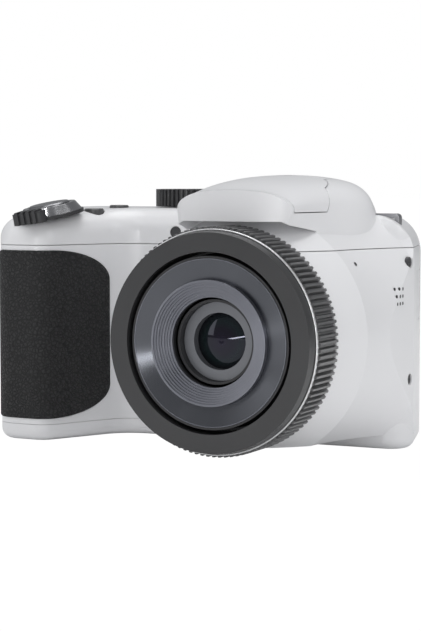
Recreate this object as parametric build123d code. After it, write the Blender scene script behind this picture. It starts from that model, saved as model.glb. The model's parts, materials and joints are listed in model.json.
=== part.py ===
from build123d import *
import math
import os

# Bridge camera. Millimetres, +Z up, lens facing -Y, grip on the -X side.
# The origin is the mouth of the tripod socket on the base plane.

# Body envelope
grip_end_x = -83.2
side_x = 35.8
rear_y = 16.0
base_z = 0.0
top_z = 67.6
wall = 2.0
seam_gap = 0.16
overrun = 5.0

# Plan outline of the body: corner places and corner radii
tail_x = 28.4
tail_r = 7.0
flank_y = -10.5
corner_x = 36.6
slab_front_y = -13.5
corner_r = 7.0
throat_x = -52.5
throat_y = -17.5
throat_r = 10.0
nose_in_x = -65.5
nose_y = -43.2
nose_in_r = 6.9
nose_out_r = 7.2
grip_rear_r = 9.0

# Top and bottom of the body
top_fall_y = -8.0
top_mid_y = -25.0
top_mid_z = 66.5
top_nose_z = 64.3
top_edge_r = 6.6
base_edge_r = 3.0
upper_seam_z = 57.0
lower_seam_z = 4.8
base_split_x = -8.0
tongue_end_x = 12.0
tongue_front_y = -9.5
tongue_back_y = 10.0
cover_split_y = 1.0

# Lens axis and the flared lens housing of the covers
lens_z = 33.4
lens_front_y = -68.0
housing_front_y = -51.9
housing_front_r = 29.7
housing_hole_r = 27.4
ridge_y = -41.5
ridge_rise = 4.6
ridge_r = housing_front_r + ridge_rise
ridge_soft_r = 1.2
flare_mid_y = -27.0
flare_mid_rise = 1.9
flare_mid_r = ridge_r + flare_mid_rise
flare_end_y = -12.5
flare_end_rise = 4.8
flare_end_r = flare_mid_r + flare_end_rise
flare_tail_y = -6.0
flare_tail_rise = 5.0
flare_tail_r = flare_end_r + flare_tail_rise
housing_floor_z = 4.2
housing_side_x = -46.0
flare_top_z = 67.2
shoulder_r = 12.0
shoulder_z = 66.0
shoulder_in_x = 19.0

# Hump with the flash and its forehead over the lens
hump_front_y = -55.0
hump_top_z = 77.2
hump_half_w = 25.0
hump_root_z = 54.0
hump_bow = 2.1
visor_half_w = 17.4
visor_corner_r = 5.0
lid_bow = 4.5
lip_z = 64.8
recess_clear = 0.3
recess_r = ridge_r + recess_clear
visor_section_shares = ((1.15, 0.0), (1.06, 0.3), (0.97, 0.556), (1.0, 0.753),
                        (0.847, 0.887), (0.588, 0.964), (0.3, 0.993), (0.0, 1.0))
hump_section_shares = ((1.06, 0.0), (1.05, 0.3), (1.02, 0.55), (0.96, 0.72),
                       (0.82, 0.862), (0.576, 0.948), (0.3, 0.987), (0.0, 1.0))
# Each station: place along the hump, half width, rise, and how far its form is the hump's
hump_station_shares = ((-0.03, 0.68, 0.832, 0.0), (0.07, 0.692, 0.853, 0.1), (0.2, 0.756, 0.925, 0.5),
                       (0.4, 0.904, 0.985, 0.9), (0.55, 0.988, 1.0, 1.0), (0.718, 0.808, 0.97, 1.0),
                       (0.887, 0.632, 0.9, 1.0), (1.0, 0.504, 0.8, 1.0))

# Lens barrel pieces, radii about the lens axis
name_ring_r = 28.94
name_ring_hole_r = 23.9
name_ring_depth = 3.2
name_ring_shoulder_r = 29.4
name_ring_sleeve_depth = 8.0
line_ring_r = 29.75
line_ring_width = 0.7
knurl_r = 30.4
knurl_root_r = 29.35
knurl_width = 11.7
knurl_count = 110
fixed_barrel_r = 26.0
fixed_barrel_bore_r = 24.7
fixed_barrel_y = -19.0
cam_ring_r = 24.6
cam_ring_bore_r = 23.3
zoom_barrel_r = 22.8
zoom_barrel_bore_r = 21.4
zoom_barrel_y = -26.0
zoom_lip_r = 22.2
web_front_drop = 4.0
web_thick = 1.2
zoom_flange_r = 23.2
zoom_flange_w = 4.0
zoom_front_drop = 1.0
bowl_rim_drop = 0.9
bowl_floor_drop = 1.6
step_ring_r = 16.6
step_ring_hole_r = 11.9
step_count = 7
inner_tube_r = 11.3
inner_tube_bore_r = 10.6
inner_tube_front = 5.0
inner_tube_y = -30.0
retainer_r = 10.5
retainer_hole_r = 7.6
retainer_front = 7.3
retainer_depth = 2.6
front_lens_r = 10.4
front_lens_crown = 1.5
running_gap = 0.1

# Grip rubber
rubber_top_z = 55.4
rubber_foot_z = 6.6
rubber_edge_x = -55.2
rubber_corner_r = 9.0
rubber_back_y = -2.5
rubber_proud = 0.4
rubber_depth = 0.9
rubber_gap = 0.08

# Flash cover and its hinge
pin_gap = 0.04
tube_depth = 2.6
lid_setback = 2.0
lid_lean = 0.15
lid_foot_z = 67.3
lid_foot_back_y = -35.6
lid_back_y = -22.2
lid_edge_shares = ((0.0, 0.0), (0.18, 0.394), (0.33, 0.636), (1.0, 0.879))
lid_thick = 1.7
lid_gap = 0.22
lid_pin_y = -18.6
lid_pin_r = 0.6
lid_knuckle_r = 2.9
lid_knuckle_cover = 0.1
lid_pin_z = hump_top_z - lid_knuckle_cover - lid_knuckle_r
lid_knuckle_half = 13.4
lid_pin_half = 15.2
lid_notch = 2.2
head_half = 12.0
head_front_y = -50.6
head_back_y = -42.6
head_foot_z = lid_foot_z
head_face_y = -46.4
head_face_rise = 2.7
head_face_z = head_foot_z + head_face_rise
head_top_z = hump_top_z
window_thick = 0.8
tube_r = 1.1
tube_half = 8.5

# Shutter release, zoom lever and top buttons
shutter_x = -67.6
shutter_y = -35.2
shutter_z = 65.8
shutter_tilt_front = 9.0
shutter_tilt_left = 7.0
shutter_button_r = 5.9
shutter_button_h = 2.5
shutter_stem_r = 2.2
lever_ring_r = 9.7
lever_ring_h = 1.0
lever_sink = 0.8
lever_tab_reach = 13.2
lever_tab_half = 4.9
lever_tab_h = 3.3
lever_ridges = 4
collar_r = 9.3
collar_top_r = 7.7
collar_h = 2.5
small_button_r = 2.9
small_button_proud = 0.75
small_button_lip = 0.3
small_button_depth = 5.0

# Mode dial
dial_x = -40.2
dial_y = 1.0
dial_r = 10.6
dial_root_r = 10.0
dial_h = 5.2
dial_lift = 0.25
dial_ribs = 44
dial_shaft_r = 2.4

# Screen and rear controls
screen_x = -12.0
screen_z = 30.4
screen_w = 66.0
screen_h = 48.4
screen_thick = 1.3
screen_corner_r = 2.0
panel_thick = 2.6
panel_margin = 1.6
pad_x = -60.5
pad_z = 25.5
pad_r = 9.2
pad_hole_r = 4.3
set_r = 4.0
key_r = 3.1
key_proud = 0.7
key_gap = 0.2
key_travel = 0.4
thumb_x = -65.2
thumb_z = 49.5
thumb_w = 18.0
thumb_h = 11.0
thumb_r = 3.0
thumb_depth = 0.8
thumb_proud = 0.3
key_spread = 8.0
key_upper_z = 38.5
key_lower_z = 10.8
record_x = -50.6
record_z = 49.5

# Cells, battery door and contacts
cell_r = 7.25
cell_length = 48.6
cell_button_r = 2.7
cell_button_h = 1.2
cell_pitch = 14.8
cell_column_x = -73.0
cell_front_y = -29.6
cell_side_x = -58.2
cell_foot_z = 4.0
door_inset = 2.6
door_edge_x = -49.4
door_back_y = 9.6
door_thick = 1.7
door_lift = 0.25
door_gap = 0.25
door_heel_gap = 0.55
door_pin_r = 0.38
door_pin_end = 1.1
door_pin_x = door_edge_x - door_thick / 2
door_pin_z = base_z + door_lift + door_thick / 2
door_top_z = base_z + door_lift + door_thick
door_front_y = -13.0
latch_w = 9.0
latch_d = 6.0
latch_travel = 3.0
latch_x = -76.0
latch_y = -16.0
latch_h = 0.8
latch_gap = 0.15
contact_thick = 0.4
spring_r = 2.6
spring_wall = 0.5
box_wall = 1.0
box_gap = 0.25
box_foot_z = 3.0
card_w = 24.0
card_thick = 2.1
card_h = 32.0
card_x = -61.6
card_y = -27.35
card_foot_z = 4.4
slot_wall = 0.3
slot_gap = 0.1

# Tripod socket
socket_r = 3.175
socket_depth = 6.5
socket_body_r = 5.2
socket_floor = 1.2
socket_flange_r = 7.5
socket_flange_h = 1.5

# Side screws and holes
screw_head_r = 1.5
screw_head_h = 0.9
screw_shank_r = 0.8
screw_length = 5.0
screw_gap = 0.1
screw_seat = 1.3
screw_y = -13.5
screw_high_z = 53.0
screw_low_z = 20.4
mic_x = 29.6
mic_y = -36.0
mic_z = 54.2
mic_hole_r = 0.55
speaker_y = -21.5
speaker_z = 44.0
speaker_pitch = 2.0
speaker_hole_r = 0.45

# Strap lugs
lug_y = -8.0
lug_bar = 1.3
lug_depth = 2.4
lug_side_x = 30.6
lug_half = 4.6
lug_top_z = 66.4
lug_foot_z = 60.6

lug_in_x = 22.0
lug_grip_y = 4.2
lug_grip_z = 50.5
lug_reach = 2.6

# Focus lamp
lamp_x = -36.2
lamp_z = 60.5
lamp_r = 1.65
lamp_length = 3.0
lamp_y = -16.5
lamp_proud = 0.4

# Lens pieces behind the front group
name_ring_sleeve_r = 25.2
cam_ring_front_y = -58.0
cam_ring_back_y = -22.0
step_fall = 3.0
lens_seat = 13.2
seat_r = 8.0
inner_flange_r = 21.3
inner_flange_w = 3.0
mount_disc_r = 31.0
mount_hole_r = 6.0
mount_disc_thick = 1.2
mount_floor_z = 6.6
rear_holder_r = 8.5
rear_holder_y = -24.0
rear_lens_r = 6.9
rear_lens_y = -22.5
rear_lens_crown = 0.8
sensor_y = -15.4
sensor_thick = 1.2
sensor_w = 9.0
sensor_h = 7.5
sensor_board_w = 24.0
sensor_board_h = 20.0
motor_r = 3.0
motor_ring_r = 29.2
motor_angle = 75.0
motor_front_y = -33.0

# Boards and chassis
board_thick = 1.2
chassis_y = -10.5
chassis_thick = 0.8
chassis_left_x = -47.0
chassis_low_z = 5.0
chassis_top_z = 56.6
board_y = -6.0
board_left_x = -45.0
board_right_x = 27.0
board_low_z = 8.0
board_high_z = 54.0
pad_board_y = 9.9
pad_board_left_x = -74.5
pad_board_right_x = -46.0
post_r = 1.6

# Shared by the push buttons
key_lip = 0.8
key_flange_h = 0.8
key_soft_r = 0.3
ridge_proud = 0.5
shutter_proud = 0.5
stem_length = 7.4
dial_shaft_end = 2.0
dial_switch_r = 6.0
dial_switch_h = 2.5
burst_x = -61.0
burst_y = -21.6
burst_z = 66.6
power_x = -59.0
power_y = -10.0
power_z = 67.5
top_buttons = (("burst_button", burst_x, burst_y, burst_z), ("power_button", power_x, power_y, power_z))
key_names = ("menu_button", "play_button", "delete_button", "display_button", "record_button")
key_places = ((pad_x + key_spread, key_upper_z), (pad_x - key_spread, key_upper_z),
              (pad_x + key_spread, key_lower_z), (pad_x - key_spread, key_lower_z), (record_x, record_z))

# Port cover on the slanted flank
port_y = 5.4
port_z = 43.0
port_cover_w = 6.6
port_cover_h = 14.0
port_cover_thick = 1.0
port_gap = 0.15
port_w = 3.0
port_h = 8.0
port_depth = 5.0
port_wall = 0.6


def moved(shape, x=0.0, y=0.0, z=0.0):
    return Pos(x, y, z) * shape


os.makedirs("parts", exist_ok=True)


def turned(face):
    """Turn a face drawn as radius on X and depth on Y about the lens axis."""
    return moved(revolve(face, Axis.Y, 360), z=lens_z)


def around_lens(points):
    """Turn a closed outline of radius and Y pairs about the lens axis."""
    return turned(make_face(Polyline(*points, close=True)))


def ring(outer_r, inner_r, front_y, back_y):
    return around_lens([(inner_r, front_y), (outer_r, front_y), (outer_r, back_y), (inner_r, back_y)])


def disc_y(radius, x, front_y, back_y, z):
    """Cylinder along Y between two depths."""
    disc = Cylinder(radius, back_y - front_y, rotation=(90, 0, 0))
    return moved(disc, x, (front_y + back_y) / 2, z)


def disc_z(radius, x, y, low_z, high_z):
    """Cylinder along Z between two heights."""
    return moved(Cylinder(radius, high_z - low_z), x, y, (low_z + high_z) / 2)


def block(low, high):
    size = [b - a for a, b in zip(low, high)]
    centre = [(a + b) / 2 for a, b in zip(low, high)]
    return moved(Box(*size), *centre)


def plan_face(inset=0.0):
    """Plan outline of the body, drawn in by an inset."""
    corners = [(tail_x, rear_y), (corner_x, slab_front_y), (throat_x, throat_y),
               (nose_in_x, nose_y), (grip_end_x, nose_y), (grip_end_x, rear_y)]
    radii = [tail_r, corner_r, throat_r, nose_in_r, nose_out_r, grip_rear_r]
    face = make_face(FilletPolyline(*corners, radius=radii, close=True))
    return offset(face, amount=-inset) if inset else face


def body_block(inset=0.0):
    """Main block of the body with its falling top and rounded edges."""
    prism = extrude(plan_face(inset), top_z)
    crown = ThreePointArc((nose_y, top_nose_z), (top_mid_y, top_mid_z), (top_fall_y, top_z))
    front = Polyline((nose_y, top_nose_z), (nose_y - overrun, top_nose_z), (nose_y - overrun, base_z),
                     (rear_y + overrun, base_z), (rear_y + overrun, top_z), (top_fall_y, top_z))
    side = Plane.YZ * make_face([*crown.edges(), *front.edges()])
    length = side_x - grip_end_x + 2 * overrun
    profile = moved(extrude(side, length), x=grip_end_x - overrun)
    solid = moved(prism, z=inset) & moved(profile, z=-inset) if inset else prism & profile
    top = solid.edges().filter_by(lambda e: e.center().Z > upper_seam_z)
    solid = fillet(top, top_edge_r - inset)
    if not inset:
        foot = solid.edges().filter_by(lambda e: e.center().Z < base_z + base_edge_r / 2)
        solid = fillet(foot, base_edge_r)
    return solid


def side_limit(inset=0.0):
    """Room between the two sides, within which the flared housing stays."""
    points = [(housing_side_x, lens_front_y), (side_x, lens_front_y), (side_x, flank_y),
              (tail_x, rear_y), (housing_side_x, rear_y)]
    face = make_face(Polyline(*points, close=True))
    face = offset(face, amount=-inset, kind=Kind.INTERSECTION) if inset else face
    room = extrude(face, flare_top_z - housing_floor_z - 2 * inset)
    return moved(room, z=housing_floor_z + inset)


def under_shoulder(solid, inset=0.0):
    """Cut a solid to the low round shoulder, straight beside the lens and then along the flank."""
    centre = (side_x - shoulder_r, shoulder_z - shoulder_r)
    radius = shoulder_r - inset
    high = hump_top_z + overrun
    low = base_z - overrun
    left = grip_end_x - side_x
    right = side_x - grip_end_x
    bend = CenterArc(centre, radius, 0, 90)
    rest = Polyline((centre[0], centre[1] + radius), (shoulder_in_x, centre[1] + radius), (shoulder_in_x, high),
                    (left, high), (left, low), (right, low), (right, centre[1]), (centre[0] + radius, centre[1]))
    face = make_face([*bend.edges(), *rest.edges()])
    length = rear_y - lens_front_y
    flank = Vector(tail_x - side_x, rear_y - flank_y, 0)
    solid = solid & extrude(Plane.XZ * face, length, both=True)
    return solid & extrude(moved(Plane.XZ * face, y=flank_y), amount=length, dir=flank.normalized(), both=True)


def flare(inset=0.0):
    """Flared housing that carries the lens, turned about the lens axis."""
    hollow = ThreePointArc((housing_front_r - inset, housing_front_y),
                           ((housing_front_r + ridge_r) / 2 - inset + ridge_soft_r / 2,
                            (housing_front_y + ridge_y) / 2 + ridge_soft_r),
                           (ridge_r - inset, ridge_y))
    bell = ThreePointArc((ridge_r - inset, ridge_y), (flare_mid_r - inset, flare_mid_y),
                         (flare_end_r - inset, flare_end_y))
    rest = Polyline((flare_end_r - inset, flare_end_y), (flare_tail_r - inset, flare_tail_y),
                    (base_z, flare_tail_y), (base_z, housing_front_y), (housing_front_r - inset, housing_front_y))
    solid = turned(make_face([*hollow.edges(), *bell.edges(), *rest.edges()]))
    return solid & side_limit(inset)


def hump(inset=0.0):
    """Flash hump, lofted through crowned sections from the forehead to the back."""
    length = rear_y - hump_front_y
    sections = []
    for place, width, rise, blend in hump_station_shares:
        half = hump_half_w * width - inset
        height = (hump_top_z - hump_root_z) * rise - inset
        right = [(half * (front[0] * (1 - blend) + mid[0] * blend), height * (front[1] * (1 - blend) + mid[1] * blend))
                 for front, mid in zip(visor_section_shares, hump_section_shares)]
        left = [(-x, z) for x, z in reversed(right[:-1])]
        curve = Spline(*right, *left)
        face = make_face([*curve.edges(), Line(left[-1], right[0]).edge()])
        plane = Plane(origin=(0, hump_front_y + length * place, hump_root_z), x_dir=(1, 0, 0), z_dir=(0, -1, 0))
        sections.append(plane * face)
    rear = block((-side_x, lens_front_y, base_z), (side_x, rear_y - inset, hump_top_z + overrun))
    return loft(sections) & visor_front(inset) & rear


def visor_front(inset=0.0):
    """Room behind the bowed forehead with its rounded corners in plan."""
    half = visor_half_w - inset
    front = hump_front_y + inset
    wide = hump_half_w + overrun
    arc = ThreePointArc((-half, front + hump_bow), (0, front), (half, front + hump_bow))
    sides = Polyline((half, front + hump_bow), (wide, flare_end_y), (wide, rear_y + overrun),
                     (-wide, rear_y + overrun), (-wide, flare_end_y), (-half, front + hump_bow))
    face = make_face([*arc.edges(), *sides.edges()])
    face = fillet(face.vertices().sort_by(Axis.Y)[:2], visor_corner_r - inset)
    return moved(extrude(face, hump_top_z - hump_root_z + overrun), z=hump_root_z)


def lid_front(setback):
    """Room behind the leaning front edge of the flash cover."""
    half = hump_half_w
    front = hump_front_y + setback
    arc = ThreePointArc((-half, front + lid_bow), (0, front), (half, front + lid_bow))
    sides = Polyline((half, front + lid_bow), (half, rear_y + overrun), (-half, rear_y + overrun),
                     (-half, front + lid_bow))
    face = make_face([*arc.edges(), *sides.edges()])
    shear = Vector(0, -lid_lean, 1) * (hump_top_z - hump_root_z + overrun)
    place = lid_lean * (lid_foot_z - hump_root_z)
    return moved(extrude(face, amount=shear.length, dir=shear), y=place, z=hump_root_z)


def recess(grow=0.0):
    """Shaded hollow under the forehead, round the front of the housing."""
    inner_r = housing_front_r - grow
    rim_r = ridge_r - grow
    rim_y = ridge_y + grow
    middle = ((inner_r + rim_r) / 2 + ridge_soft_r / 2, (housing_front_y + rim_y) / 2 + ridge_soft_r)
    hollow = ThreePointArc((inner_r, housing_front_y), middle, (rim_r, rim_y))
    rest = Polyline((rim_r, rim_y), (recess_r + grow, rim_y), (recess_r + grow, lens_front_y),
                    (base_z, lens_front_y), (base_z, housing_front_y), (inner_r, housing_front_y))
    solid = turned(make_face([*hollow.edges(), *rest.edges()]))
    return solid & block((-side_x, lens_front_y - overrun, base_z), (side_x, rear_y, lip_z + grow))


parts = {}


def keep(name, shape):
    parts[name] = shape


far = hump_top_z + overrun
left_x = grip_end_x - overrun
front_y = lens_front_y - overrun
back_y = rear_y + overrun
right_x = side_x + overrun
half_gap = seam_gap / 2

body_outer = under_shoulder(body_block() + flare())
body_inner = under_shoulder(body_block(wall) + flare(wall), wall)
body_shell = body_outer - body_inner
hump_outer = hump()
barrel_hole = disc_y(housing_hole_r, 0, lens_front_y, fixed_barrel_y, lens_z)


def rubber_band(proud, depth, gap=0.0):
    """Panel that follows the grip outline, with rounded corners at its inner end."""
    band = offset(plan_face(), amount=proud) - offset(plan_face(), amount=-depth)
    shell = extrude(band, top_z)
    width = rubber_edge_x - left_x
    height = rubber_top_z - rubber_foot_z
    panel = Rectangle(width + 2 * gap, height + 2 * gap)
    panel = fillet(panel.vertices(), rubber_corner_r)
    slab = extrude(Plane.XZ * panel, rubber_back_y - front_y + gap)
    slab = moved(slab, left_x + width / 2, rubber_back_y + gap, (rubber_top_z + rubber_foot_z) / 2)
    return shell & slab


def base_region(gap=0.0):
    """Room of the base cover: the grip's strip and a tongue under the lens."""
    low = base_z - overrun
    strip = block((left_x, front_y, low), (base_split_x + gap, back_y, lower_seam_z + gap))
    tongue = block((base_split_x - overrun, tongue_front_y - gap, low),
                   (tongue_end_x + gap, tongue_back_y + gap, wall + gap))
    return strip + tongue


def side_screw_holes():
    holes = [disc_x(screw_head_r + screw_gap, screw_y, z, side_x - screw_seat, side_x + overrun)
             for z in (screw_low_z, screw_high_z)]
    shanks = [disc_x(screw_shank_r, screw_y, z, side_x - screw_seat - screw_length, side_x)
              for z in (screw_low_z, screw_high_z)]
    return holes + shanks


def make_front_cover():
    shell = body_shell - barrel_hole
    shell &= block((left_x, front_y, base_z), (right_x, cover_split_y - half_gap, upper_seam_z - half_gap))
    shell -= base_region(half_gap)
    shell -= rubber_band(rubber_proud, rubber_depth, rubber_gap)
    shell -= side_screw_holes()
    shell -= speaker_holes()
    shell -= mic_hole()
    keep("front_cover", shell)


def speaker_holes():
    steps = (-speaker_pitch, 0, speaker_pitch)
    low_x = side_x - 2 * wall
    return [disc_x(speaker_hole_r, speaker_y + dy, speaker_z + dz, low_x, right_x) for dy in steps for dz in steps]


def mic_hole():
    """Small hole square to the flared housing."""
    angle = math.degrees(math.atan2(mic_z - lens_z, mic_x))
    drill = Cylinder(mic_hole_r, 2 * overrun)
    return Pos(mic_x, mic_y, mic_z) * Rot(0, 90 - angle, 0) * drill


def disc_x(radius, y, z, low_x, high_x):
    """Cylinder along X between two places."""
    disc = Cylinder(radius, high_x - low_x, rotation=(0, 90, 0))
    return moved(disc, (low_x + high_x) / 2, y, z)


def lid_room(gap=0.0):
    """Room of the flash cover: a wedge behind the forehead and a knuckle at the back."""
    high = hump_top_z + overrun
    points = [(front_y, high), (front_y, lid_foot_z - gap)]
    for along, up in lid_edge_shares:
        points.append((lid_foot_back_y + (lid_back_y - lid_foot_back_y) * along + gap,
                       lid_foot_z + (hump_top_z - lid_foot_z) * up - gap))
    points.append((lid_back_y + gap, high))
    wedge = extrude(Plane.YZ * make_face(Polyline(*points, close=True)), hump_half_w + overrun, both=True)
    wedge &= lid_front(lid_setback - gap)
    half = lid_knuckle_half + gap
    back = lid_pin_y if gap else lid_pin_y - lid_notch
    crown = block((-half, lid_back_y - gap, lid_pin_z), (half, back, high))
    bend = disc_x(lid_knuckle_r + gap, lid_pin_y, lid_pin_z, -half, half)
    return wedge + crown + bend


def make_flash():
    skin = hump_outer & lid_room()
    hollow = hump(lid_thick)
    knuckle = disc_x(lid_knuckle_r, lid_pin_y, lid_pin_z, -lid_knuckle_half, lid_knuckle_half)
    lid = (skin - hollow) + (skin & knuckle)
    lid -= disc_x(lid_pin_r + pin_gap, lid_pin_y, lid_pin_z, -hump_half_w, hump_half_w)
    keep("flash_cover", lid)
    keep("flash_hinge_pin", disc_x(lid_pin_r, lid_pin_y, lid_pin_z, -lid_pin_half, lid_pin_half))
    points = [(head_front_y, head_top_z), (head_front_y, head_face_z), (head_face_y, head_foot_z),
              (head_back_y, head_foot_z), (head_back_y, head_top_z)]
    head = extrude(Plane.YZ * make_face(Polyline(*points, close=True)), head_half, both=True)
    tilt = math.atan2(head_face_z - head_foot_z, head_face_y - head_front_y)
    mid_y = (head_front_y + head_face_y) / 2
    mid_z = (head_face_z + head_foot_z) / 2
    span = math.hypot(head_face_y - head_front_y, head_face_z - head_foot_z)
    face = Plane(origin=(0, mid_y, mid_z), x_dir=(1, 0, 0), z_dir=(0, -math.sin(tilt), -math.cos(tilt)))
    glass_w = 2 * (head_half - window_thick)
    window = face * moved(Box(glass_w, span - window_thick, window_thick), z=-window_thick / 2)
    deep = -window_thick - tube_depth / 2
    pocket = face * moved(Box(2 * tube_half + window_thick, span - 2 * window_thick, tube_depth), z=deep)
    tube = face * moved(Cylinder(tube_r, 2 * tube_half, rotation=(0, 90, 0)), z=deep)
    head &= hump(lid_thick + lid_gap)
    keep("flash_head", head - window - pocket)
    keep("flash_window", window)
    keep("flash_tube", tube)


def make_top_cover():
    shell = body_outer + hump_outer
    shell -= recess()
    room = body_inner + hump(wall)
    room -= recess(wall)
    shell -= room
    shell -= barrel_hole
    shell &= block((left_x, front_y, upper_seam_z + half_gap), (right_x, back_y, far))
    cut = lid_room(lid_gap)
    ears = disc_x(lid_knuckle_r, lid_pin_y, lid_pin_z, lid_knuckle_half + lid_gap, lid_pin_half)
    ears = (ears + mirror(ears, Plane.YZ)) & hump_outer
    shell = (shell - cut) + (ears - cut)
    shell -= disc_x(lid_pin_r, lid_pin_y, lid_pin_z, -lid_pin_half, lid_pin_half)
    shell -= shutter_frame() * disc_seat()
    shell -= disc_z(dial_shaft_r + pin_gap, dial_x, dial_y, upper_seam_z, far)
    for name, x, y, z in top_buttons:
        shell -= disc_z(small_button_r + key_gap, x, y, upper_seam_z, far)
    shell -= lamp_hole()
    shell -= lug_bars_side()
    keep("top_cover", shell)


def shutter_frame():
    """Frame of the shutter release: its top leans forward and to the grip's end."""
    return Pos(shutter_x, shutter_y, shutter_z) * Rot(shutter_tilt_front, -shutter_tilt_left, 0)


def disc_seat():
    """Flat seat of the zoom lever and the bore for the release stem."""
    seat = moved(Cylinder(lever_ring_r + key_gap, overrun), z=overrun / 2 - lever_sink)
    stem = Cylinder(shutter_stem_r + key_gap, 4 * overrun)
    return seat + stem


def lamp_hole():
    return disc_y(lamp_r + rubber_gap, lamp_x, lamp_y - overrun, lamp_y + lamp_length, lamp_z)


def make_base():
    tray = body_outer & base_region()
    tray -= block((left_x, front_y, base_z + wall), (base_split_x - wall, back_y, far)) & body_inner
    tray -= door_room(door_gap)
    tray -= disc_z(socket_flange_r, 0, 0, base_z + socket_flange_h, lower_seam_z)
    tray -= disc_z(socket_body_r, 0, 0, base_z - overrun, lower_seam_z)
    tray -= disc_y(door_pin_r, door_pin_x, door_front_y - door_pin_end, door_back_y + door_pin_end, door_pin_z)
    keep("base_cover", tray)


def door_room(gap=0.0):
    """Room of the battery door: the grip's outline drawn in, with a round hinge edge."""
    plan = offset(plan_face(), amount=gap - door_inset)
    low = base_z + door_lift
    room = moved(extrude(plan, door_thick + gap), z=low) if not gap else extrude(plan, wall)
    flat = block((left_x, door_front_y - gap, base_z), (door_pin_x, door_back_y + gap, lower_seam_z))
    heel_x = door_pin_x - door_thick + (door_heel_gap if gap else 0)
    flat += block((left_x, front_y, base_z), (heel_x, door_front_y, lower_seam_z))
    edge = disc_y(door_thick / 2 + gap, door_pin_x, door_front_y - gap, door_back_y + gap, door_pin_z)
    slot = block((door_pin_x, door_front_y - gap, base_z), (door_edge_x + gap, door_back_y + gap, wall))
    return (room & flat) + (slot if gap else edge)


def make_rear_cover():
    shell = body_shell & block((left_x, cover_split_y + half_gap, base_z), (right_x, back_y, upper_seam_z - half_gap))
    shell -= base_region(half_gap)
    half_w, half_h = screen_w / 2, screen_h / 2
    shell -= screen_plate(half_w + rubber_gap, half_h + rubber_gap, rear_y - screen_thick, back_y)
    shell -= screen_plate(half_w - panel_margin, half_h - panel_margin, rear_y - 2 * wall, back_y)
    shell -= disc_y(pad_r + key_gap, pad_x, rear_y - 2 * wall, back_y, pad_z)
    for x, z in key_places:
        shell -= disc_y(key_r + key_gap, x, rear_y - 2 * wall, back_y, z)
    shell -= thumb_pad(rubber_gap)
    shell -= port_frame() * moved(Box(port_cover_w + 2 * port_gap, port_cover_h + 2 * port_gap, 2 * port_cover_thick))
    shell -= port_frame() * moved(Box(port_w, port_h, 4 * wall))
    shell -= lug_bars_grip()
    keep("rear_cover", shell)


def screen_plate(half_w, half_h, low_y, high_y):
    plate = RectangleRounded(2 * half_w, 2 * half_h, screen_corner_r)
    return moved(extrude(Plane.XZ * plate, high_y - low_y), screen_x, high_y, screen_z)


def thumb_pad(gap=0.0):
    pad = RectangleRounded(thumb_w + 2 * gap, thumb_h + 2 * gap, thumb_r)
    high = rear_y + thumb_proud
    return moved(extrude(Plane.XZ * pad, thumb_depth + thumb_proud), thumb_x, high, thumb_z)


def port_frame():
    """Frame on the slanted flank: X to the rear, Y up, Z out of the flank."""
    slope = (corner_x - tail_x) / (rear_y - slab_front_y)
    x = tail_x + (rear_y - port_y) * slope
    turn = math.degrees(math.atan(slope))
    return Plane(origin=(x, port_y, port_z), x_dir=(-math.sin(math.radians(turn)), math.cos(math.radians(turn)), 0),
                 z_dir=(math.cos(math.radians(turn)), math.sin(math.radians(turn)), 0))


def make_port():
    round_r = port_cover_thick / 2
    pin_x = port_cover_w / 2 - round_r
    cover = block((-port_cover_w / 2, -port_cover_h / 2, -port_cover_thick), (pin_x, port_cover_h / 2, 0))
    cover += disc_y(round_r, pin_x, -port_cover_h / 2, port_cover_h / 2, -round_r)
    keep("port_cover", port_frame() * cover)
    shell = Box(port_w, port_h, port_depth)
    shell -= moved(Box(port_w - 2 * port_wall, port_h - 2 * port_wall, port_depth), z=port_wall)
    keep("usb_port", port_frame() * moved(shell, z=-port_cover_thick - port_depth / 2))


def make_lens_front():
    front, shoulder_y = lens_front_y, lens_front_y + name_ring_depth
    sleeve_y = front + name_ring_sleeve_depth
    keep("lens_name_ring", around_lens([(name_ring_hole_r, front), (name_ring_r, front),
         (name_ring_shoulder_r, shoulder_y), (name_ring_sleeve_r, shoulder_y),
         (name_ring_sleeve_r, sleeve_y), (name_ring_hole_r, sleeve_y)]))
    line_y = shoulder_y + line_ring_width
    keep("lens_line_ring", ring(line_ring_r, name_ring_sleeve_r, shoulder_y, line_y))
    back = line_y + knurl_width
    knurl = ring(knurl_root_r, fixed_barrel_r, line_y, back) + knurl_ribs(line_y, back)
    keep("knurled_ring", knurl)
    keep("fixed_barrel", ring(fixed_barrel_r, fixed_barrel_bore_r, sleeve_y, fixed_barrel_y))
    keep("cam_ring", ring(cam_ring_r, cam_ring_bore_r, cam_ring_front_y, cam_ring_back_y))


def knurl_ribs(front, back):
    """Grip ribs of the zoom ring as one toothed outline extruded along the axis."""
    points = []
    for n in range(knurl_count):
        for share, radius in ((0.0, knurl_root_r), (0.22, knurl_r), (0.58, knurl_r), (0.8, knurl_root_r)):
            angle = 2 * math.pi * (n + share) / knurl_count
            points.append((radius * math.cos(angle), radius * math.sin(angle)))
    face = make_face(Polyline(*points, close=True))
    face -= Circle((knurl_root_r + fixed_barrel_r) / 2)
    face = moved(extrude(Plane.XZ * face, back - front), y=back, z=lens_z)
    return face


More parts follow.
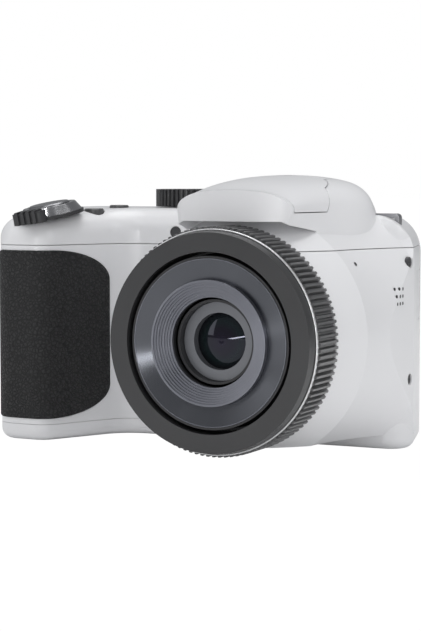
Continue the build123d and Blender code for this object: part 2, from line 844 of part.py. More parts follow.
def make_zoom_barrel():
    front = lens_front_y + zoom_front_drop
    web_y = lens_front_y + web_front_drop
    web_back = web_y + web_thick
    flange_y = zoom_barrel_y - zoom_flange_w
    keep("zoom_barrel", around_lens([(zoom_lip_r, front), (zoom_barrel_r, front), (zoom_barrel_r, flange_y),
         (zoom_flange_r, flange_y), (zoom_flange_r, zoom_barrel_y), (zoom_barrel_bore_r, zoom_barrel_y),
         (zoom_barrel_bore_r, web_back), (step_ring_hole_r, web_back), (step_ring_hole_r, web_y),
         (zoom_lip_r, web_y)]))
    rim_y = lens_front_y + bowl_rim_drop
    floor_y = lens_front_y + bowl_floor_drop
    keep("front_bowl_ring", around_lens([(step_ring_r, floor_y), (zoom_lip_r, rim_y), (zoom_lip_r, web_y),
         (step_ring_r, web_y)]))
    keep("stepped_ring", around_lens(step_points(web_y)))


def step_points(back):
    """Outline of the stepped ring: equal steps down to its hole."""
    points = [(step_ring_r, back), (step_ring_r, lens_front_y)]
    wide = (step_ring_r - step_ring_hole_r) / (step_count + 1)
    deep = step_fall / step_count
    for n in range(1, step_count + 1):
        points.append((step_ring_r - wide * n, lens_front_y + deep * (n - 1)))
        points.append((step_ring_r - wide * n, lens_front_y + deep * n))
    points.append((step_ring_hole_r, lens_front_y + step_fall))
    points.append((step_ring_hole_r, back))
    return points


def make_inner_barrel():
    front = lens_front_y + inner_tube_front
    seat = lens_front_y + lens_seat
    flange_y = inner_tube_y - inner_flange_w
    tube = around_lens([(inner_tube_bore_r, front), (inner_tube_r, front), (inner_tube_r, flange_y),
                        (inner_flange_r, flange_y), (inner_flange_r, inner_tube_y), (inner_tube_bore_r, inner_tube_y)])
    tube += ring(inner_tube_bore_r + slot_gap, seat_r, seat, seat + web_thick)
    keep("inner_barrel", tube)
    ring_y = lens_front_y + retainer_front
    ring_back = ring_y + retainer_depth
    keep("lens_retainer", ring(retainer_r, retainer_hole_r, ring_y, ring_back))
    crown_r = retainer_hole_r - slot_gap
    keep("front_lens", crowned_lens(front_lens_r, crown_r, ring_back, seat, front_lens_crown))


def crowned_lens(radius, crown_r, front, back, crown):
    """Lens with a flat rim and a crowned middle in front."""
    swell = (crown_r ** 2 + crown ** 2) / (2 * crown)
    rise = swell - math.sqrt(swell ** 2 - (crown_r / 2) ** 2)
    arc = ThreePointArc((base_z, front - crown), (crown_r / 2, front - crown + rise), (crown_r, front))
    rest = Polyline((crown_r, front), (radius, front), (radius, back), (base_z, back), (base_z, front - crown))
    return turned(make_face([*arc.edges(), *rest.edges()]))


def make_lens_rear():
    disc = ring(mount_disc_r, mount_hole_r, fixed_barrel_y, fixed_barrel_y + mount_disc_thick)
    disc += ring(rear_holder_r, mount_hole_r, fixed_barrel_y, sensor_y)
    disc += ring(rear_holder_r, rear_lens_r, rear_holder_y, fixed_barrel_y)
    disc &= block((left_x, front_y, mount_floor_z), (right_x, back_y, far))
    keep("lens_mount", disc)
    keep("rear_lens", crowned_lens(rear_lens_r, rear_lens_r - slot_wall, rear_lens_y, fixed_barrel_y, rear_lens_crown))
    half = sensor_w / 2
    keep("image_sensor", block((-half, sensor_y - sensor_thick, lens_z - sensor_h / 2),
                               (half, sensor_y, lens_z + sensor_h / 2)))
    half = sensor_board_w / 2
    keep("sensor_board", block((-half, sensor_y, lens_z - sensor_board_h / 2),
                               (half, sensor_y + board_thick, lens_z + sensor_board_h / 2)))
    angle = math.radians(motor_angle)
    motor_x = motor_ring_r * math.sin(angle)
    motor_z = lens_z - motor_ring_r * math.cos(angle)
    keep("zoom_motor", disc_y(motor_r, motor_x, motor_front_y, fixed_barrel_y, motor_z))


def make_shutter():
    frame = shutter_frame()
    low = running_gap - lever_sink
    top = low + lever_ring_h
    lever = moved(Cylinder(lever_ring_r, lever_ring_h), z=low + lever_ring_h / 2)
    tab_back = -collar_r - key_gap
    tab = block((-lever_tab_half, -lever_tab_reach, low), (lever_tab_half, tab_back, low + lever_tab_h))
    tab = fillet(tab.edges().filter_by(Axis.Z), lever_ring_h)
    lever += tab
    pitch = 2 * lever_tab_half / (lever_ridges + 1)
    for n in range(1, lever_ridges + 1):
        x = -lever_tab_half + pitch * n
        high = low + lever_tab_h + ridge_proud
        lever += block((x - ridge_proud, -lever_tab_reach - ridge_proud, low), (x + ridge_proud, tab_back, high))
    lever -= Cylinder(shutter_button_r + key_gap, 2 * overrun)
    keep("zoom_lever", frame * lever)
    collar = moved(Cone(collar_r, collar_top_r, collar_h), z=top + collar_h / 2)
    collar -= Cylinder(shutter_button_r + key_gap, 4 * overrun)
    keep("shutter_collar", frame * collar)
    cap_top = top + collar_h + shutter_proud
    cap = moved(Cylinder(shutter_button_r, shutter_button_h), z=cap_top - shutter_button_h / 2)
    cap = chamfer(cap.edges().sort_by(Axis.Z)[-1], key_soft_r)
    stem = moved(Cylinder(shutter_stem_r, stem_length), z=cap_top - shutter_button_h - stem_length / 2)
    clip = moved(Cylinder(shutter_stem_r + key_lip, key_flange_h),
                 z=cap_top - shutter_button_h - stem_length + key_flange_h / 2)
    keep("shutter_button", frame * (cap + stem + clip))


def key_solid(radius, proud, lip, depth, hole_r=0.0):
    """Push button: cap through the wall with a flange behind it, its outer face at +Z."""
    cap = moved(Cylinder(radius, proud + depth), z=(proud - depth) / 2)
    cap = chamfer(cap.edges().sort_by(Axis.Z)[-1], key_soft_r)
    flange = moved(Cylinder(radius + lip, key_flange_h), z=-depth - key_flange_h / 2)
    solid = cap + flange
    if hole_r:
        solid -= Cylinder(hole_r, 4 * depth)
    return solid


def rear_key(x, z, solid):
    return Pos(x, rear_y, z) * Rot(-90, 0, 0) * solid


def make_controls():
    depth = wall + key_gap
    for name, (x, z) in zip(key_names, key_places):
        keep(name, rear_key(x, z, key_solid(key_r, key_proud, key_lip, depth)))
    keep("four_way_pad", rear_key(pad_x, pad_z, key_solid(pad_r, key_proud, key_lip, depth, pad_hole_r)))
    set_depth = depth + key_flange_h + key_travel + key_gap
    keep("set_button", rear_key(pad_x, pad_z, key_solid(set_r, key_proud, key_lip, set_depth)))
    for name, x, y, z in top_buttons:
        button = key_solid(small_button_r, small_button_proud, small_button_lip, small_button_depth)
        keep(name, Pos(x, y, z) * button)
    dial = extrude(dial_face(), dial_h)
    dial = moved(dial, dial_x, dial_y, top_z + dial_lift)
    shaft_low = top_z - wall - dial_shaft_end
    dial += disc_z(dial_shaft_r, dial_x, dial_y, shaft_low, top_z + dial_lift)
    keep("mode_dial", dial)
    switch_low = top_z - wall - dial_switch_h
    switch = disc_z(dial_switch_r, dial_x, dial_y, switch_low, top_z - wall)
    keep("dial_switch", switch - disc_z(dial_shaft_r + key_gap, dial_x, dial_y, switch_low, top_z))


def dial_face():
    points = []
    for n in range(dial_ribs):
        for share, radius in ((0.0, dial_root_r), (0.2, dial_r), (0.6, dial_r), (0.8, dial_root_r)):
            angle = 2 * math.pi * (n + share) / dial_ribs
            points.append((radius * math.cos(angle), radius * math.sin(angle)))
    return make_face(Polyline(*points, close=True))


def make_screen():
    half_w, half_h = screen_w / 2, screen_h / 2
    keep("screen_window", screen_plate(half_w, half_h, rear_y - screen_thick, rear_y))
    back = rear_y - wall
    keep("lcd_panel", block((screen_x - half_w + panel_margin / 2, back - panel_thick, screen_z - half_h + panel_margin / 2),
                            (screen_x + half_w - panel_margin / 2, back, screen_z + half_h - panel_margin / 2)))
    keep("thumb_rest", thumb_pad())


def cell_places():
    column = [(cell_column_x, cell_front_y + cell_pitch * n) for n in range(3)]
    return column + [(cell_side_x, column[-1][1])]


def make_power():
    top = cell_foot_z + cell_length + cell_button_h
    cells, sleeves, bores, springs = [], [], [], []
    for n, (x, y) in enumerate(cell_places()):
        up = n % 2 == 0
        low = cell_foot_z if up else cell_foot_z + cell_button_h
        tip = (low + cell_length, top) if up else (cell_foot_z, low)
        cells.append(disc_z(cell_r, x, y, low, low + cell_length) + disc_z(cell_button_r, x, y, *tip))
        sleeves.append(disc_z(cell_r + box_gap + box_wall, x, y, box_foot_z, top + box_wall))
        bores.append(disc_z(cell_r + box_gap, x, y, base_z, top))
        spring = disc_z(spring_r, x, y, door_top_z + contact_thick, cell_foot_z - slot_gap)
        springs.append(spring - disc_z(spring_r - spring_wall, x, y, door_top_z, cell_foot_z))
    keep("aa_cells", Compound(cells))
    box = sleeves[0]
    for sleeve in sleeves[1:]:
        box += sleeve
    box &= body_inner
    box -= bores
    box -= slot_block(slot_wall + 2 * slot_gap)
    keep("battery_box", box)
    keep("door_springs", Compound(springs))
    door = door_room()
    door -= disc_y(door_pin_r, door_pin_x, door_front_y - door_pin_end, door_back_y + door_pin_end, door_pin_z)
    low = base_z + door_lift
    run = latch_d + latch_travel + latch_gap
    door -= block((latch_x - latch_d / 2 - latch_gap, latch_y - latch_w / 2 - latch_gap, base_z),
                  (latch_x - latch_d / 2 + run, latch_y + latch_w / 2 + latch_gap, low + latch_h + latch_gap))
    keep("battery_door", door)
    keep("battery_latch", block((latch_x - latch_d / 2, latch_y - latch_w / 2, low),
                                (latch_x + latch_d / 2, latch_y + latch_w / 2, low + latch_h)))
    keep("door_hinge_pin", disc_y(door_pin_r, door_pin_x, door_front_y - door_pin_end,
                                  door_back_y + door_pin_end, door_pin_z))
    make_card()


def card_frame():
    """Frame of the memory card: X along the grip's inner wall, Y through the card, Z up."""
    along = math.degrees(math.atan2(throat_y - nose_y, throat_x - nose_in_x))
    return Pos(card_x, card_y, card_foot_z) * Rot(0, 0, along)


def make_card():
    card = card_frame() * moved(Box(card_w, card_thick, card_h), z=card_h / 2)
    keep("memory_card", card)
    keep("card_slot", slot_block(slot_wall + slot_gap) - card_frame() * card_room())


def card_room():
    """Cavity of the card slot, open at the foot."""
    tall = card_h + slot_gap + overrun
    return moved(Box(card_w + 2 * slot_gap, card_thick + 2 * slot_gap, tall), z=tall / 2 - overrun)


def slot_block(grow):
    tall = card_h + grow
    return card_frame() * moved(Box(card_w + 2 * grow, card_thick + 2 * grow, tall), z=tall / 2)


def make_boards():
    plate = block((chassis_left_x, chassis_y, chassis_low_z), (right_x, chassis_y + chassis_thick, chassis_top_z))
    plate &= body_inner
    spacers = [disc_y(post_r, x, chassis_y, board_y, z)
               for x in (board_left_x + overrun, board_right_x - overrun)
               for z in (board_low_z + overrun, board_high_z - overrun)]
    for spacer in spacers:
        plate += spacer
    keep("chassis_plate", plate)
    keep("main_board", block((board_left_x, board_y, board_low_z), (board_right_x, board_y + board_thick, board_high_z)))
    keep("pad_board", block((pad_board_left_x, pad_board_y, board_low_z),
                            (pad_board_right_x, pad_board_y + board_thick, board_high_z)))


def make_small_parts():
    body = disc_z(socket_body_r, 0, 0, base_z, socket_depth + socket_floor)
    body += disc_z(socket_flange_r, 0, 0, base_z + socket_flange_h, base_z + 2 * socket_flange_h)
    body -= disc_z(socket_r, 0, 0, base_z, socket_depth)
    keep("tripod_socket", body)
    keep("focus_lamp", disc_y(lamp_r, lamp_x, lamp_y - lamp_proud, lamp_y + lamp_length, lamp_z))
    screws = []
    for z in (screw_low_z, screw_high_z):
        seat = side_x - screw_seat
        head = disc_x(screw_head_r, screw_y, z, seat, seat + screw_head_h)
        screws.append(head + disc_x(screw_shank_r, screw_y, z, seat - screw_length, seat))
    keep("side_screws", Compound(screws))
    keep("strap_lugs", Compound([*lug_bars_side().solids(), *lug_bars_grip().solids()]))
    keep("grip_rubber", rubber_band(rubber_proud, rubber_depth - rubber_gap))


def lug_bars_side():
    """Strap lug of the lens side: a bar bent over the shoulder."""
    low_y, high_y = lug_y - lug_depth / 2, lug_y + lug_depth / 2
    outer = lug_side_x
    over = block((lug_in_x, low_y, lug_top_z - lug_bar), (outer, high_y, lug_top_z))
    down = block((outer - lug_bar, low_y, lug_foot_z), (outer, high_y, lug_top_z))
    bar = over + down
    edge = bar.edges().filter_by(Axis.Y).filter_by(lambda e: e.center().X > outer - slot_gap
                                                   and e.center().Z > lug_top_z - slot_gap)
    return fillet(edge, lug_bar - slot_gap)


def lug_bars_grip():
    """Strap lug of the grip side: a staple standing out of the end wall."""
    low_y, high_y = lug_grip_y - lug_depth / 2, lug_grip_y + lug_depth / 2
    inner = grip_end_x + wall
    outer = grip_end_x - lug_reach
    staple = block((outer, low_y, lug_grip_z - lug_half), (inner, high_y, lug_grip_z + lug_half))
    hole = block((outer + lug_bar, low_y, lug_grip_z - lug_half + lug_bar),
                 (inner, high_y, lug_grip_z + lug_half - lug_bar))
    return staple - hole


make_front_cover()
make_flash()
make_top_cover()
make_base()
make_rear_cover()
make_port()
make_lens_front()
make_zoom_barrel()
make_inner_barrel()
make_lens_rear()
make_shutter()
make_controls()
make_screen()
make_power()
make_boards()
make_small_parts()
for name, shape in parts.items():
    print(name, shape.is_valid, round(shape.volume, 1), len(shape.solids()))
    export_step(shape, f"parts/{name}.step")
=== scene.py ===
import bmesh
import bpy
import json
import math
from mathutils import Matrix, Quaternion, Vector

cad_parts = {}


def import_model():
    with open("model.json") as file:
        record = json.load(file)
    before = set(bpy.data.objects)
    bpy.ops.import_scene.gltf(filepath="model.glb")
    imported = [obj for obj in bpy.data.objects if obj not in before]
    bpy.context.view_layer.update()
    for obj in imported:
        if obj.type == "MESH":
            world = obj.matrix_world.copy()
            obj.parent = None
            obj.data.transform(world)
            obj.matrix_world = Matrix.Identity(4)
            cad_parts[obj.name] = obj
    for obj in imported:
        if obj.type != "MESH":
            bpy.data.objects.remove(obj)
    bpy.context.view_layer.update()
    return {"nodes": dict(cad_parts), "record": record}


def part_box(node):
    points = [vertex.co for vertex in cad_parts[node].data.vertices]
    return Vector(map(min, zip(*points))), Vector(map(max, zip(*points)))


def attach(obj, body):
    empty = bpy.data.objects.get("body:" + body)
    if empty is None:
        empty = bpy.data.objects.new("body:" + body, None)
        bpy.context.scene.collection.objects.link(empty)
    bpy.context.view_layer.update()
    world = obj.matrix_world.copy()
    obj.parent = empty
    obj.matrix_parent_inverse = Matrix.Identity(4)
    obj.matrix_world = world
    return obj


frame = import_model()
scene = bpy.context.scene

# The object's sizes and places are in millimetres; those of the lights and the floor are in metres
MM = 0.001


def box_mm(node):
    """Lowest and highest corner of a CAD node at rest, in millimetres."""
    return [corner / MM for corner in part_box(node)]


def middle_mm(node):
    low, high = box_mm(node)
    return (low + high) / 2


LENS_Z = middle_mm("fixed_barrel").z


# Node materials

PLASTIC_IOR = 1.48
MIX_FACTOR, MIX_DARK, MIX_LIGHT, MIX_RESULT = 0, 6, 7, 2    # sockets of a Mix node that mixes colours


def put(node, **values):
    """Set inputs by name; an underscore stands for a space."""
    for key, value in values.items():
        node.inputs[key.replace("_", " ")].default_value = value


def new_node(tree, kind, **values):
    node = tree.nodes.new("ShaderNode" + kind)
    put(node, **values)
    return node


def new_material(name):
    mat = bpy.data.materials.new(name)
    mat.use_nodes = True
    tree = mat.node_tree
    tree.nodes.clear()
    out = new_node(tree, "OutputMaterial")
    bsdf = new_node(tree, "BsdfPrincipled")
    tree.links.new(bsdf.outputs[0], out.inputs[0])
    return mat, tree, bsdf


def coords(tree):
    return new_node(tree, "TexCoord").outputs["Object"]


def noise(tree, scale, detail, rough=0.5):
    node = new_node(tree, "TexNoise", Scale=scale, Detail=detail, Roughness=rough)
    tree.links.new(coords(tree), node.inputs["Vector"])
    return node.outputs["Fac"]


def ramp(tree, source, low, high, start=0.0, end=1.0):
    """Turn a source that goes from low to high into one that goes from start to end."""
    node = new_node(tree, "MapRange", From_Min=low, From_Max=high, To_Min=start, To_Max=end)
    tree.links.new(source, node.inputs["Value"])
    return node.outputs[0]


def tint(tree, source, dark, light):
    """Colour that runs from dark to light as the source goes from 0 to 1."""
    node = new_node(tree, "Mix")
    node.data_type = "RGBA"
    node.inputs[MIX_DARK].default_value = (*dark, 1)
    node.inputs[MIX_LIGHT].default_value = (*light, 1)
    tree.links.new(source, node.inputs[MIX_FACTOR])
    return node.outputs[MIX_RESULT]


def add_bump(tree, bsdf, height, strength, distance, edge=0.0):
    """Relief in the normal, where distance is its depth and edge the radius of softened corners."""
    node = new_node(tree, "Bump", Strength=strength, Distance=distance * MM)
    tree.links.new(height, node.inputs["Height"])
    if edge:
        soft = new_node(tree, "Bevel", Radius=edge * MM)
        soft.samples = 4
        tree.links.new(soft.outputs[0], node.inputs["Normal"])
    tree.links.new(node.outputs[0], bsdf.inputs["Normal"])


def math_node(tree, kind, a, b=None, c=None):
    """Math node whose inputs are sockets or numbers."""
    node = new_node(tree, "Math")
    node.operation = kind
    for slot, value in enumerate((a, b, c)):
        if value is None:
            continue
        if isinstance(value, (int, float)):
            node.inputs[slot].default_value = value
        else:
            tree.links.new(value, node.inputs[slot])
    return node.outputs[0]


def axis_parts(tree):
    """The three object coordinates in millimetres."""
    split = new_node(tree, "SeparateXYZ")
    tree.links.new(coords(tree), split.inputs[0])
    return [math_node(tree, "MULTIPLY", out, 1 / MM) for out in split.outputs]


def lens_radius(tree):
    """Distance from the lens axis in millimetres."""
    x, _, z = axis_parts(tree)
    rise = math_node(tree, "SUBTRACT", z, LENS_Z)
    square = math_node(tree, "MULTIPLY_ADD", x, x, math_node(tree, "MULTIPLY", rise, rise))
    return math_node(tree, "SQRT", square)


def finish_slot(name, dark, light, rough, spread=0.06, metal=0.0, coat=0.0, coat_rough=0.1,
                grain=900.0, bump=0.05, depth=0.02, edge=0.15):
    """A moulded or metal finish: slight cloud in colour and gloss, fine grain in the normal."""
    mat, tree, bsdf = new_material(name)
    cloud = noise(tree, scale=60.0, detail=3.0)
    gloss = noise(tree, scale=140.0, detail=4.0)
    tree.links.new(tint(tree, cloud, dark, light), bsdf.inputs["Base Color"])
    tree.links.new(ramp(tree, gloss, 0.3, 0.7, rough - spread, rough + spread), bsdf.inputs["Roughness"])
    put(bsdf, Metallic=metal, IOR=PLASTIC_IOR, Coat_Weight=coat, Coat_Roughness=coat_rough)
    add_bump(tree, bsdf, noise(tree, grain, detail=3.0), bump, depth, edge)
    return mat


def leather(name):
    """Pebbled rubber skin: small warped cells with finer noise, a random patchy tone, soft painted highlight
    on the cell tops and painted shade in the grooves.
    """
    mat, tree, bsdf = new_material(name)
    warp = new_node(tree, "TexNoise", Scale=900.0)
    tree.links.new(coords(tree), warp.inputs["Vector"])
    shift = new_node(tree, "VectorMath")
    shift.operation = "MULTIPLY_ADD"
    tree.links.new(warp.outputs["Color"], shift.inputs[0])
    shift.inputs[1].default_value = Vector((0.5, 0.5, 0.5)) * MM
    tree.links.new(coords(tree), shift.inputs[2])
    cells = new_node(tree, "TexVoronoi", Scale=950.0)
    cells.feature = "DISTANCE_TO_EDGE"
    tree.links.new(shift.outputs[0], cells.inputs["Vector"])
    dome = ramp(tree, cells.outputs["Distance"], low=0.02, high=0.28)
    fine = noise(tree, scale=4200.0, detail=4.0, rough=0.6)
    patch = noise(tree, scale=90.0, detail=3.0)
    height = math_node(tree, "MULTIPLY_ADD", fine, 0.35, dome)
    # Colour mix: random patches, plus painted highlight on the cell tops and painted shade in the grooves
    # between cells
    shade = math_node(tree, "MULTIPLY_ADD", patch, 0.3, math_node(tree, "MULTIPLY", dome, 0.7))
    black, painted_top_highlight = (0.004, 0.004, 0.0045), (0.018, 0.018, 0.019)
    tree.links.new(tint(tree, shade, black, painted_top_highlight), bsdf.inputs["Base Color"])
    tree.links.new(ramp(tree, dome, 0.0, 1.0, start=0.72, end=0.5), bsdf.inputs["Roughness"])
    put(bsdf, Specular_IOR_Level=0.42)
    add_bump(tree, bsdf, height, strength=1.0, distance=0.2)
    return mat


def brushed_bowl(name, dark, light, rough, swing, grooves, bump):
    """Turned metal: fine rings about the lens axis that draw the highlight out along the radius.

    swing is how far the highlight is drawn out, and grooves is in radians per millimetre.
    """
    mat, tree, bsdf = new_material(name)
    ring = math_node(tree, "SINE", math_node(tree, "MULTIPLY", lens_radius(tree), grooves))
    cloud = noise(tree, scale=80.0, detail=3.0)
    tree.links.new(tint(tree, cloud, dark, light), bsdf.inputs["Base Color"])
    put(bsdf, Metallic=1.0, Roughness=rough, Anisotropic=swing, Anisotropic_Rotation=0.25, IOR=1.5)
    tangent = new_node(tree, "Tangent")
    tangent.direction_type = "RADIAL"
    tangent.axis = "Y"
    tree.links.new(tangent.outputs[0], bsdf.inputs["Tangent"])
    add_bump(tree, bsdf, ring, bump, distance=0.01, edge=0.1)
    return mat


def coated_front(name):
    """Front glass: nearly black, with a painted reflection of its coating in the colour: a faint violet
    middle and a green rim.
    """
    mat, tree, bsdf = new_material(name)
    clear_radius = 7.6
    blend = new_node(tree, "ValToRGB")
    stops = blend.color_ramp.elements
    for place in (0.45, 0.7):
        stops.new(place)
    # Painted reflection colours, from the middle of the glass out to its rim
    painted_reflection_colours = ((0.010, 0.007, 0.016), (0.007, 0.006, 0.010), (0.006, 0.012, 0.012), (0.004, 0.004, 0.005))
    for stop, colour in zip(stops, painted_reflection_colours):
        stop.color = (*colour, 1)
    tree.links.new(math_node(tree, "DIVIDE", lens_radius(tree), clear_radius), blend.inputs[0])
    tree.links.new(blend.outputs[0], bsdf.inputs["Base Color"])
    put(bsdf, Roughness=0.03, IOR=1.35, Coat_Weight=0.3, Coat_Roughness=0.01,
        Specular_Tint=(0.6, 0.62, 0.9, 1))
    return mat


def clear_glass(name):
    """Clear glass with a faint violet coating."""
    mat, _, bsdf = new_material(name)
    put(bsdf, Base_Color=(0.95, 0.96, 1.0, 1), Roughness=0.02, IOR=1.52, Transmission_Weight=1.0,
        Coat_Weight=0.6, Coat_Roughness=0.02, Coat_Tint=(0.5, 0.4, 0.9, 1))
    return mat


def ribbed(name, colour, rough, axis, pitch, depth):
    """Finish with ribs across one object axis, such as a thread or a lamp window, with painted shade in the
    troughs of the ribs.
    """
    mat, tree, bsdf = new_material(name)
    wave = math_node(tree, "SINE", math_node(tree, "MULTIPLY", axis_parts(tree)[axis], 2 * math.pi / pitch))
    shade = ramp(tree, wave, low=-1.0, high=1.0)
    # Painted shade: the troughs of the ribs are darker
    dark = tuple(c * 0.8 for c in colour)
    tree.links.new(tint(tree, shade, dark, colour), bsdf.inputs["Base Color"])
    put(bsdf, Roughness=rough)
    add_bump(tree, bsdf, wave, strength=0.6, distance=depth)
    return mat, bsdf


def ribbed_window(name):
    """Clear window with fine upright ribs that spread the light of the tube behind it."""
    mat, bsdf = ribbed(name, (0.9, 0.92, 0.96), rough=0.08, axis=0, pitch=0.8, depth=0.2)
    put(bsdf, Transmission_Weight=0.75, IOR=1.5)
    return mat


def threaded_steel(name):
    """Bright steel with the thread of a tripod screw in its bore."""
    mat, bsdf = ribbed(name, (0.6, 0.6, 0.61), rough=0.28, axis=2, pitch=1.27, depth=0.4)
    put(bsdf, Metallic=1.0)
    return mat


MATS = {
    # Shell, rubber and bare metal
    "body_white": finish_slot("shell_white", (0.715, 0.715, 0.73), (0.735, 0.735, 0.747), 0.36, 0.01,
                              coat=0.22, coat_rough=0.12, grain=2400.0, bump=0.02, depth=0.003, edge=0.25),
    "soft_white": finish_slot("flap_white", (0.66, 0.66, 0.68), (0.71, 0.71, 0.72), 0.45, edge=0.12),
    "grip_rubber": leather("pebbled_rubber"),
    "steel": finish_slot("bare_steel", (0.5, 0.5, 0.5), (0.62, 0.62, 0.63), 0.3, metal=1.0),
    "dark_steel": finish_slot("black_steel", (0.05, 0.05, 0.055), (0.09, 0.09, 0.095), 0.35, metal=0.8),
    "lug_metal": finish_slot("lug_grey", (0.28, 0.28, 0.29), (0.36, 0.36, 0.38), 0.35, metal=0.9, edge=0.2),
    "inner_black": finish_slot("inner_black", (0.012, 0.012, 0.013), (0.02, 0.02, 0.022), 0.5),

    # Lamps
    "lamp_lens": clear_glass("flash_window"),
    "lamp_dark": finish_slot("lamp_smoke", (0.03, 0.03, 0.032), (0.05, 0.05, 0.052), 0.12, 0.02, coat=0.8),

    # Lens
    "ring_black": finish_slot("ring_black", (0.022, 0.022, 0.023), (0.031, 0.031, 0.033), 0.34, 0.04,
                              coat=0.3, coat_rough=0.25),
    "chrome_line": finish_slot("line_chrome", (0.8, 0.8, 0.81), (0.88, 0.88, 0.89), 0.3, 0.03,
                               metal=0.75, edge=0.1),
    "knurl_black": finish_slot("knurl_black", (0.05, 0.05, 0.051), (0.07, 0.07, 0.072), 0.38,
                               coat=0.6, coat_rough=0.2, edge=0.12),
    "barrel_black": finish_slot("barrel_black", (0.018, 0.018, 0.02), (0.028, 0.028, 0.03), 0.38),
    "bowl_gloss": brushed_bowl("bowl_turned", (0.10, 0.104, 0.116), (0.12, 0.124, 0.138), rough=0.2,
                               swing=1.0, grooves=24.0, bump=0.01),
    "step_grey": brushed_bowl("step_turned", (0.17, 0.175, 0.20), (0.24, 0.245, 0.275), rough=0.4,
                              swing=0.6, grooves=6.3, bump=0.5),
    "retainer_grey": finish_slot("retainer_grey", (0.15, 0.155, 0.17), (0.20, 0.205, 0.22), 0.4, metal=0.4),
    "lens_glass": coated_front("coated_glass"),

    # Controls and the marks on them
    "control_black": finish_slot("control_black", (0.022, 0.022, 0.024), (0.034, 0.034, 0.036), 0.34,
                                 edge=0.2),
    "collar_metal": finish_slot("collar_metal", (0.32, 0.32, 0.33), (0.42, 0.42, 0.43), 0.2, 0.03,
                                metal=1.0),
    "button_metal": finish_slot("button_metal", (0.2, 0.2, 0.21), (0.27, 0.27, 0.28), 0.3, 0.04, metal=0.9),
    "button_grey": finish_slot("button_grey", (0.06, 0.06, 0.062), (0.09, 0.09, 0.092), 0.32, edge=0.2),
    "mark_grey": finish_slot("mark_grey", (0.42, 0.42, 0.43), (0.5, 0.5, 0.51), 0.5, bump=0.0),
    "mark_white": finish_slot("mark_white", (0.66, 0.66, 0.66), (0.74, 0.74, 0.74), 0.5, bump=0.0),
    "record_red": finish_slot("record_red", (0.42, 0.015, 0.012), (0.5, 0.02, 0.015), 0.4, bump=0.0),

    # Screen and electronics
    "screen_glass": finish_slot("screen_glass", (0.008, 0.008, 0.01), (0.01, 0.01, 0.012), 0.06, 0.01,
                                coat=1.0, bump=0.0),
    "panel_dark": finish_slot("panel_dark", (0.01, 0.01, 0.012), (0.014, 0.014, 0.016), 0.2),
    "sensor": finish_slot("sensor", (0.02, 0.05, 0.05), (0.03, 0.06, 0.06), 0.1, 0.02),
    "circuit_board": finish_slot("board_green", (0.01, 0.09, 0.035), (0.015, 0.13, 0.05), 0.35),
    "cell_wrap": finish_slot("cell_wrap", (0.1, 0.11, 0.12), (0.14, 0.15, 0.16), 0.25, metal=0.5),
    "card_blue": finish_slot("card_blue", (0.02, 0.03, 0.08), (0.03, 0.04, 0.1), 0.35),
}

# Nodes whose finish differs from the rest of their slot
SPECIAL = {"flash_window": ribbed_window("window_ribbed"), "tripod_socket": threaded_steel("steel_threaded")}

for part in frame["record"]["subparts"]:
    materials = frame["nodes"][part["node"]].data.materials
    materials.clear()
    materials.append(SPECIAL.get(part["node"], MATS[part["material_slot"]]))


# Outlines of marks, in millimetres on their surface

def bar(x0, y0, x1, y1):
    return [(x0, y0), (x1, y0), (x1, y1), (x0, y1)]


def hollow_bar(across, up, line):
    """Four bars round a rectangle, from its half sizes and the width of its line."""
    return [bar(-across, -up, across, line - up), bar(-across, up - line, across, up),
            bar(-across, line - up, line - across, up - line),
            bar(across - line, line - up, across, up - line)]


def cross(arm, half_width):
    return [bar(-arm, -half_width, arm, half_width), bar(-half_width, half_width, half_width, arm),
            bar(-half_width, -arm, half_width, -half_width)]


def turned(points, angle):
    c, s = math.cos(angle), math.sin(angle)
    return [(x * c - y * s, x * s + y * c) for x, y in points]


def disc_outline(radius, count=28):
    return [turned([(radius, 0)], 2 * math.pi * n / count)[0] for n in range(count)]


def arc_band(inner, outer, count, start=0, end=360):
    """Flat ring, or its part between two angles in degrees, as short quads that keep the mesh clean."""
    edge = [(inner, 0), (outer, 0)]
    bands = []
    for n in range(count):
        a, b = (math.radians(start + (end - start) * (n + k) / count) for k in (0, 1))
        bands.append(turned(edge, a) + turned(edge[::-1], b))
    return bands


# Printed and moulded marks

def plate(name, outlines, surface, body, mat, thick=0.05):
    """Thin mark from closed outlines in millimetres, with its middle in a surface.

    surface is (origin, right, up), and thick is how far the mark stands out along right x up.
    """
    origin, right, up = (Vector(v) for v in surface)
    out = right.cross(up) * thick
    mesh = bmesh.new()
    for points in outlines:
        flat = [origin + right * x + up * y for x, y in points]
        low, high = ([mesh.verts.new((spot + shift) * MM) for spot in flat] for shift in (-out, out))
        mesh.faces.new(high)
        mesh.faces.new(low[::-1])
        for a in range(len(points)):
            b = (a + 1) % len(points)
            mesh.faces.new((low[a], low[b], high[b], high[a]))
    bmesh.ops.recalc_face_normals(mesh, faces=mesh.faces)
    data = bpy.data.meshes.new(name)
    mesh.to_mesh(data)
    mesh.free()
    obj = bpy.data.objects.new(name, data)
    scene.collection.objects.link(obj)
    data.materials.append(mat)
    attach(obj, body)


def back_of(node):
    """Surface at the middle of a node's rear face, seen from behind: right is -X there."""
    middle = middle_mm(node)
    return (middle.x, box_mm(node)[1].y, middle.z), (-1, 0, 0), (0, 0, 1)


def top_of(node):
    """Surface at the middle of a node's top, seen from behind and above."""
    middle = middle_mm(node)
    return (middle.x, middle.y, box_mm(node)[1].z), (-1, 0, 0), (0, -1, 0)


